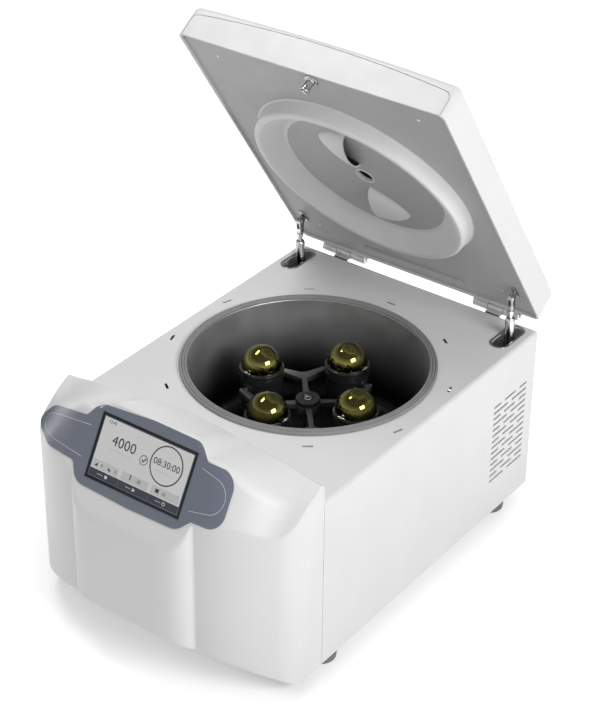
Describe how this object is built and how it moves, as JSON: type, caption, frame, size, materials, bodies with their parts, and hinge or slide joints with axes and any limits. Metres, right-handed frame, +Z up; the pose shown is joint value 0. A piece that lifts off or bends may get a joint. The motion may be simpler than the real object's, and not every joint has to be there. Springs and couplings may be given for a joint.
{
  "type": "benchtop centrifuge with swing-out rotor",
  "caption": "Refrigerated benchtop centrifuge: white housing with a sloping display console, hinged lid on gas struts, sealed bowl and a swing-out rotor with domed bucket caps.",
  "frame": {"origin": "on the bench under the middle of the object's bounding box, lid open", "axes": "+Z up, +X to the right of someone who faces the front, front towards -Y"},
  "size_m": [0.43, 0.7268, 0.7634],
  "materials": {
    "cover_paint": "satin powder coat",
    "shell_plastic": "satin moulded",
    "liner_plastic": "fine satin",
    "panel_film": "satin film",
    "black_plastic": "satin",
    "display_window": "clear gloss over a light screen",
    "seal_rubber": "matt",
    "foot_rubber": "matt",
    "bowl_steel": "dark satin",
    "frame_steel": "zinc plated",
    "strut_chrome": "polished",
    "hinge_metal": "satin",
    "cap_gold": "glossy olive-gold anodised",
    "bucket_black": "black anodised",
    "rotor_dark": "dark satin anodised",
    "board_green": "satin",
    "motor_grey": "painted",
    "can_black": "painted",
    "fin_metal": "bare"
  },
  "bodies": {
    "base": {"base_pan": "frame_steel", "housing_cover": "cover_paint", "rear_panel": "cover_paint", "front_fascia": "shell_plastic", "control_panel": "panel_film", "display_bezel": "black_plastic", "display_glass": "display_window", "control_board": "board_green", "bowl": "bowl_steel", "bowl_gasket": "seal_rubber", "guard_ring": "frame_steel", "chamber_deck": "frame_steel", "motor_mount_1": "seal_rubber", "motor_mount_2": "seal_rubber", "motor_mount_3": "seal_rubber", "motor_plate": "frame_steel", "drive_motor": "motor_grey", "compressor": "can_black", "condenser": "fin_metal", "fan_frame": "black_plastic", "power_inlet": "black_plastic", "switch_frame": "black_plastic", "latch_case": "black_plastic", "slot_trim_left": "strut_chrome", "slot_trim_right": "strut_chrome", "hinge_base_left": "hinge_metal", "hinge_base_right": "hinge_metal", "foot_front_left": "foot_rubber", "foot_front_right": "foot_rubber", "foot_rear_left": "foot_rubber", "foot_rear_right": "foot_rubber"},
    "lid": {"lid_shell": "shell_plastic", "lid_front_trim": "shell_plastic", "lid_liner": "liner_plastic", "viewing_port": "black_plastic", "lid_striker": "strut_chrome", "hinge_leaf_left": "hinge_metal", "hinge_leaf_right": "hinge_metal", "hinge_pin_left": "frame_steel", "hinge_pin_right": "frame_steel", "strut_bracket_left": "strut_chrome", "strut_bracket_right": "strut_chrome"},
    "rotor": {"motor_shaft": "frame_steel", "rotor_cross": "rotor_dark", "rotor_knob": "black_plastic"},
    "bucket_1": {"bucket_1": "bucket_black"},
    "cap_1": {"bucket_cap_1": "cap_gold"},
    "bucket_2": {"bucket_2": "bucket_black"},
    "cap_2": {"bucket_cap_2": "cap_gold"},
    "bucket_3": {"bucket_3": "bucket_black"},
    "cap_3": {"bucket_cap_3": "cap_gold"},
    "bucket_4": {"bucket_4": "bucket_black"},
    "cap_4": {"bucket_cap_4": "cap_gold"},
    "strut_tube_left": {"strut_tube_left": "strut_chrome"},
    "strut_rod_left": {"strut_rod_left": "frame_steel"},
    "strut_tube_right": {"strut_tube_right": "strut_chrome"},
    "strut_rod_right": {"strut_rod_right": "frame_steel"},
    "latch_bolt": {"latch_bolt": "frame_steel"},
    "power_rocker": {"power_rocker": "black_plastic"},
    "fan_wheel": {"fan_wheel": "black_plastic"}
  },
  "joints": [
    {"name": "lid_hinge", "type": "hinge", "parent": "base", "child": "lid", "pos_m": [0, 0.32965, 0.29], "axis": [-1, 0, 0], "range_deg": [-56.3, 0]},
    {"name": "strut_pivot_left", "type": "hinge", "parent": "lid", "child": "strut_tube_left", "pos_m": [-0.188, 0.27861, 0.34851], "axis": [1, 0, 0], "range_deg": [-46.8, 0]},
    {"name": "strut_slide_left", "type": "slide", "parent": "strut_tube_left", "child": "strut_rod_left", "axis": [0, 0.0281, -0.9996], "range_m": [-0.0634, 0]},
    {"name": "strut_pivot_right", "type": "hinge", "parent": "lid", "child": "strut_tube_right", "pos_m": [0.188, 0.27861, 0.34851], "axis": [1, 0, 0], "range_deg": [-46.8, 0]},
    {"name": "strut_slide_right", "type": "slide", "parent": "strut_tube_right", "child": "strut_rod_right", "axis": [0, 0.0281, -0.9996], "range_m": [-0.0634, 0]},
    {"name": "rotor_spin", "type": "hinge", "parent": "base", "child": "rotor", "pos_m": [0, 0.04565, 0.218], "axis": [0, 0, 1], "continuous": true},
    {"name": "bucket_swing_1", "type": "hinge", "parent": "rotor", "child": "bucket_1", "pos_m": [0.08779, 0.03951, 0.218], "axis": [-0.0698, -0.9976, 0], "range_deg": [0, 90]},
    {"name": "cap_lift_1", "type": "slide", "parent": "bucket_1", "child": "cap_1", "axis": [0, 0, 1], "range_m": [0, 0.01]},
    {"name": "bucket_swing_2", "type": "hinge", "parent": "rotor", "child": "bucket_2", "pos_m": [0.00614, 0.13344, 0.218], "axis": [0.9976, -0.0698, 0], "range_deg": [0, 90]},
    {"name": "cap_lift_2", "type": "slide", "parent": "bucket_2", "child": "cap_2", "axis": [0, 0, 1], "range_m": [0, 0.01]},
    {"name": "bucket_swing_3", "type": "hinge", "parent": "rotor", "child": "bucket_3", "pos_m": [-0.08779, 0.05179, 0.218], "axis": [0.0698, 0.9976, 0], "range_deg": [0, 90]},
    {"name": "cap_lift_3", "type": "slide", "parent": "bucket_3", "child": "cap_3", "axis": [0, 0, 1], "range_m": [0, 0.01]},
    {"name": "bucket_swing_4", "type": "hinge", "parent": "rotor", "child": "bucket_4", "pos_m": [-0.00614, -0.04214, 0.218], "axis": [-0.9976, 0.0698, 0], "range_deg": [0, 90]},
    {"name": "cap_lift_4", "type": "slide", "parent": "bucket_4", "child": "cap_4", "axis": [0, 0, 1], "range_m": [0, 0.01]},
    {"name": "latch_slide", "type": "slide", "parent": "base", "child": "latch_bolt", "axis": [-1, 0, 0], "range_m": [0, 0.007]},
    {"name": "rocker_tilt", "type": "hinge", "parent": "base", "child": "power_rocker", "pos_m": [-0.075, 0.31075, 0.093], "axis": [1, 0, 0], "range_deg": [0, 10]},
    {"name": "fan_spin", "type": "hinge", "parent": "base", "child": "fan_wheel", "pos_m": [0.1435, 0.24915, 0.145], "axis": [1, 0, 0], "continuous": true}
  ],
  "couplings": [
    {"joint": "strut_pivot_left", "follows": "lid_hinge", "ratio": 0.827},
    {"joint": "strut_slide_left", "follows": "lid_hinge", "m_per_rad": 0.064023},
    {"joint": "strut_pivot_right", "follows": "lid_hinge", "ratio": 0.827},
    {"joint": "strut_slide_right", "follows": "lid_hinge", "m_per_rad": 0.064023}
  ]
}
